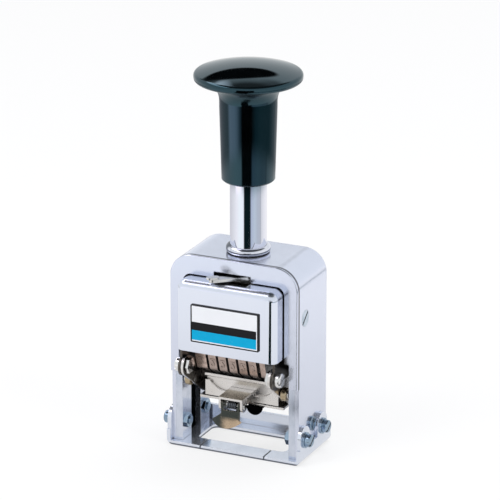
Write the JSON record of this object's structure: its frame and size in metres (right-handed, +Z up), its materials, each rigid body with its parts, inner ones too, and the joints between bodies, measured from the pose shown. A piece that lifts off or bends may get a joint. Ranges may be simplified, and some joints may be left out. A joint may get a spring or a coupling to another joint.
{
  "type": "numbering machine",
  "caption": "Hand-operated numbering stamp: a plunger in a chromed case lowers inked number wheels while the ink tray swings clear.",
  "frame": {"origin": "on the table, under the axis of the plunger", "axes": "+X to the machine's right, +Y to its back, +Z up along the plunger"},
  "size_m": [0.0616, 0.042, 0.1517],
  "materials": {
    "chrome_case": "bright chrome plate on pressed steel",
    "chrome_tube": "mirror chrome on drawn tube",
    "nickel": "nickel plate, slightly warm",
    "zinc": "zinc plate, bluish",
    "spring_steel": "oil-blackened spring wire",
    "black_knob": "polished black phenolic",
    "black_tab": "black",
    "wheel_bronze": "engraved bronze, inked dark at the rims",
    "roller_brass": "turned brass",
    "latch_bronze": "olive bronze",
    "label": "printed in plain bands, without words",
    "felt": "ink-soaked felt"
  },
  "bodies": {
    "frame": {"base_frame": "chrome_case", "outer_shell": "chrome_case", "front_plate": "chrome_case", "rear_plate": "chrome_case", "guide_rails": "nickel", "guide_strips": "spring_steel", "collar_bush": "chrome_tube", "ear_screws": "zinc", "ear_washers": "zinc", "ear_nuts": "zinc", "guide_screws": "zinc", "side_screws": "zinc", "spring_pins": "zinc", "return_spring_left": "spring_steel", "return_spring_right": "spring_steel"},
    "plunger": {"plunger_tube": "chrome_tube", "stem_nut": "zinc", "knob": "black_knob", "carriage_frame": "nickel", "wheel_axle": "zinc", "slide_blocks": "nickel", "axle_spacers": "nickel", "front_cover": "chrome_tube", "nameplate": "label", "arm_pivot_screws": "nickel", "arm_pivot_nuts": "nickel", "pawl_shaft": "zinc", "index_shaft": "zinc", "lever_post": "nickel"},
    "ink_arm": {"ink_arm": "nickel", "pad_cartridge": "nickel", "ink_pad": "felt", "cartridge_tab": "black_tab", "roller_pins": "nickel", "latch_pin": "nickel", "latch_spring": "spring_steel"},
    "thumb_latch": {"thumb_latch": "latch_bronze"},
    "cam_roller_left": {"cam_roller_left": "roller_brass"},
    "cam_roller_right": {"cam_roller_right": "roller_brass"},
    "feed_pawl": {"feed_pawl": "spring_steel"},
    "index_pawls": {"index_pawls": "spring_steel"},
    "selector_lever": {"selector_lever": "nickel"},
    "prefix_wheel": {"prefix_wheel": "wheel_bronze"},
    "digit_wheel_1": {"digit_wheel_1": "wheel_bronze"},
    "digit_wheel_2": {"digit_wheel_2": "wheel_bronze"},
    "digit_wheel_3": {"digit_wheel_3": "wheel_bronze"},
    "digit_wheel_4": {"digit_wheel_4": "wheel_bronze"},
    "digit_wheel_5": {"digit_wheel_5": "wheel_bronze", "drive_ratchet": "wheel_bronze"}
  },
  "joints": [
    {"name": "plunge", "type": "slide", "parent": "frame", "child": "plunger", "axis": [0, 0, -1], "range_m": [0, 0.0276], "stiffness_N_per_m": 400, "springref_m": -0.02, "deforming": ["return_spring_left", "return_spring_right"]},
    {"name": "ink_arm_swing", "type": "hinge", "parent": "plunger", "child": "ink_arm", "pos_m": [0, -0.0172, 0.0349], "axis": [-1, 0, 0], "range_deg": [0, 158]},
    {"name": "thumb_latch_press", "type": "hinge", "parent": "ink_arm", "child": "thumb_latch", "pos_m": [0, -0.0142, 0.0205], "axis": [1, 0, 0], "range_deg": [0, 20], "stiffness_Nm_per_rad": 0.01, "springref_deg": -20.05},
    {"name": "cam_roller_left_spin", "type": "hinge", "parent": "ink_arm", "child": "cam_roller_left", "pos_m": [-0.01995, -0.0101, 0.0267], "axis": [1, 0, 0], "continuous": true},
    {"name": "cam_roller_right_spin", "type": "hinge", "parent": "ink_arm", "child": "cam_roller_right", "pos_m": [0.01995, -0.0101, 0.0267], "axis": [1, 0, 0], "continuous": true},
    {"name": "feed_pawl_swing", "type": "hinge", "parent": "plunger", "child": "feed_pawl", "pos_m": [0, 0.0065, 0.0525], "axis": [1, 0, 0], "range_deg": [0, 10]},
    {"name": "index_pawl_swing", "type": "hinge", "parent": "plunger", "child": "index_pawls", "pos_m": [0, -0.0085, 0.0525], "axis": [-1, 0, 0], "range_deg": [0, 8], "stiffness_Nm_per_rad": 0.02, "springref_deg": -11.46},
    {"name": "selector_lever_swing", "type": "hinge", "parent": "plunger", "child": "selector_lever", "pos_m": [0.0065, -0.0085, 0.0715], "axis": [0, 0, 1], "range_deg": [-12, 15]},
    {"name": "prefix_wheel_turn", "type": "hinge", "parent": "plunger", "child": "prefix_wheel", "pos_m": [-0.015, -0.001, 0.0376], "axis": [1, 0, 0], "continuous": true},
    {"name": "digit_wheel_1_turn", "type": "hinge", "parent": "plunger", "child": "digit_wheel_1", "pos_m": [-0.0102, -0.001, 0.0376], "axis": [1, 0, 0], "continuous": true},
    {"name": "digit_wheel_2_turn", "type": "hinge", "parent": "plunger", "child": "digit_wheel_2", "pos_m": [-0.006, -0.001, 0.0376], "axis": [1, 0, 0], "continuous": true},
    {"name": "digit_wheel_3_turn", "type": "hinge", "parent": "plunger", "child": "digit_wheel_3", "pos_m": [-0.0018, -0.001, 0.0376], "axis": [1, 0, 0], "continuous": true},
    {"name": "digit_wheel_4_turn", "type": "hinge", "parent": "plunger", "child": "digit_wheel_4", "pos_m": [0.0024, -0.001, 0.0376], "axis": [1, 0, 0], "continuous": true},
    {"name": "digit_wheel_5_turn", "type": "hinge", "parent": "plunger", "child": "digit_wheel_5", "pos_m": [0.0066, -0.001, 0.0376], "axis": [1, 0, 0], "continuous": true}
  ],
  "couplings": [
    {"joint": "ink_arm_swing", "follows": "plunge", "rad_per_m": 99.484},
    {"joint": "feed_pawl_swing", "follows": "plunge", "rad_per_m": 6.3}
  ]
}
